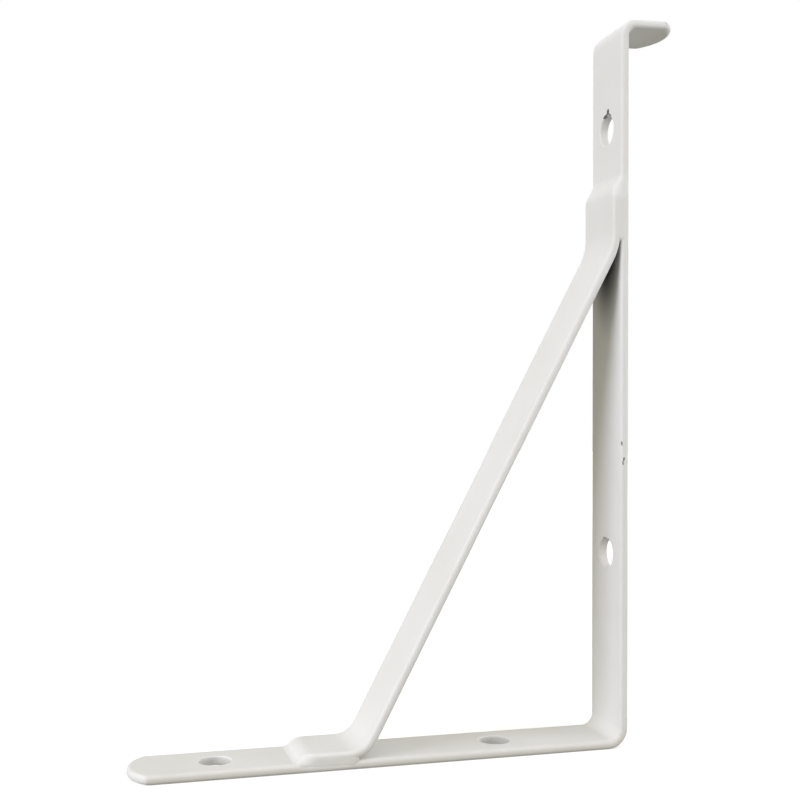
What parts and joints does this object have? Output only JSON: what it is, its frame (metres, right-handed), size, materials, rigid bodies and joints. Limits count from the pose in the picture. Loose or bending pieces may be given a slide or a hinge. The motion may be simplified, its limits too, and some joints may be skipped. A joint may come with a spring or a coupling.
{
  "type": "shelf bracket",
  "caption": "Flat-steel shelf bracket: a bent angle bar with round ends and a turned-out lip, screw holes in both legs, and a brace welded across the corner.",
  "frame": {"origin": "on the wall face, midway between the two wall holes", "axes": "+Z along the shelf leg towards the lip, +X from the tip of the wall leg towards the shelf leg, +Y across the strip; -Z faces the wall"},
  "size_m": [0.1615, 0.0204, 0.2165],
  "materials": {
    "white_enamel": "off-white enamel on steel, satin to semi-gloss, softened over the edges, with a few chips"
  },
  "bodies": {
    "root": {"angle_bar": "white_enamel", "brace": "white_enamel", "shelf_weld": "white_enamel", "wall_weld": "white_enamel"}
  },
  "joints": []
}
